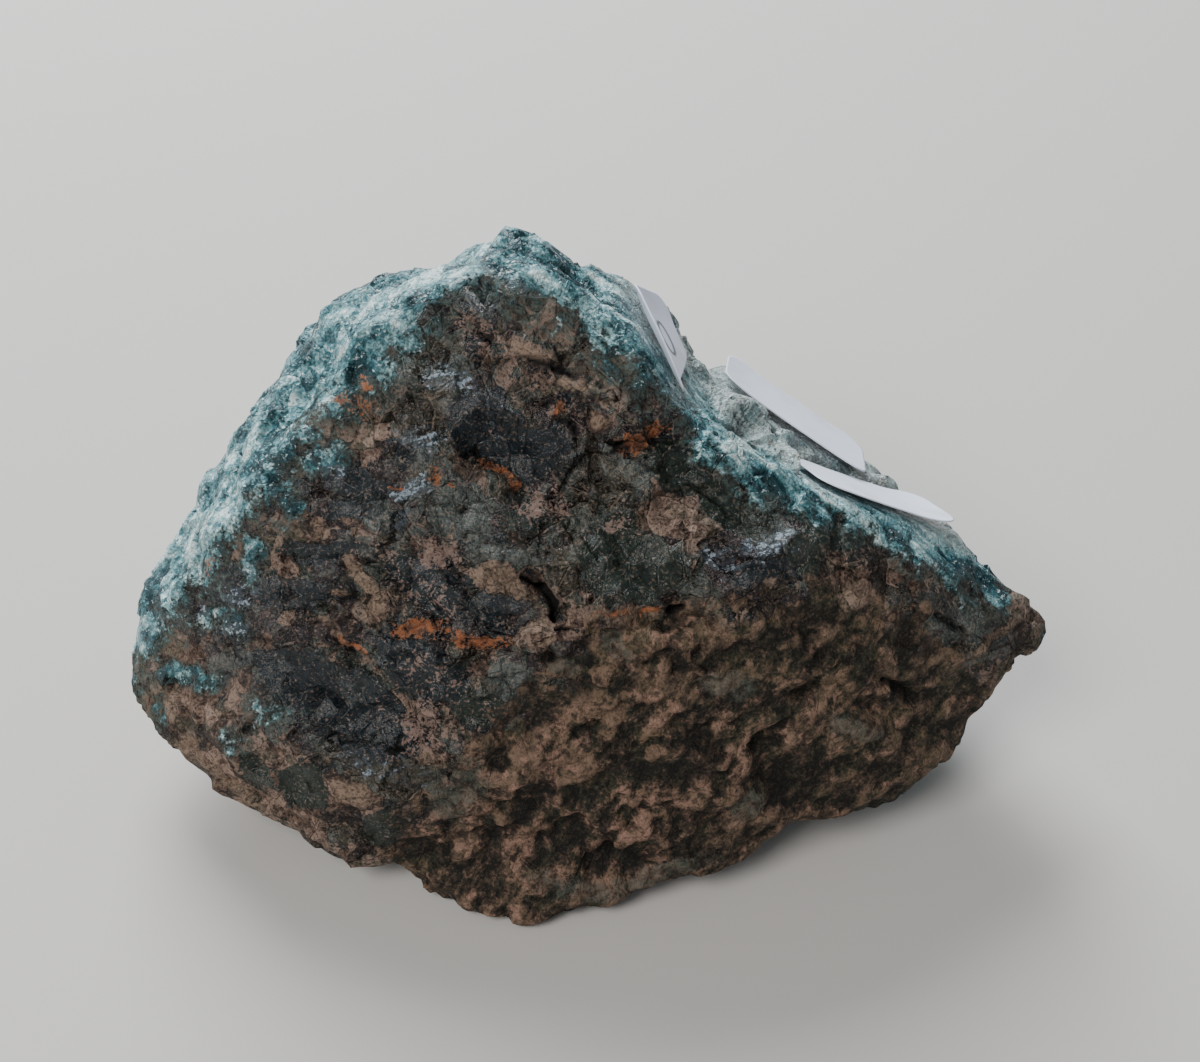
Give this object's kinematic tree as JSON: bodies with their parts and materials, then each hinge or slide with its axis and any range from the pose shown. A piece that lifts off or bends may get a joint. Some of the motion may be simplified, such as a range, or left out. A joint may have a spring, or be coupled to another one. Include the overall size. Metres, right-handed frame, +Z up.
{
  "type": "raw apatite",
  "caption": "Rough broken chunk of massive green-blue apatite, wedge-shaped with a teal crest and a dark grainy front, with small white paper labels on its back slope.",
  "frame": {"origin": "on the table, under the middle of the specimen's bounding box", "axes": "+X towards the pointed nose of the stone, -Y towards its broad dark front, +Z up"},
  "size_m": [0.095, 0.0646, 0.0533],
  "materials": {
    "apatite": "rough broken crystal faces with a vitreous to greasy sheen",
    "paper": "matte white adhesive label"
  },
  "bodies": {
    "root": {"stone": "apatite", "label_ridge": "paper", "label_slope": "paper", "label_nose": "paper"}
  },
  "joints": []
}
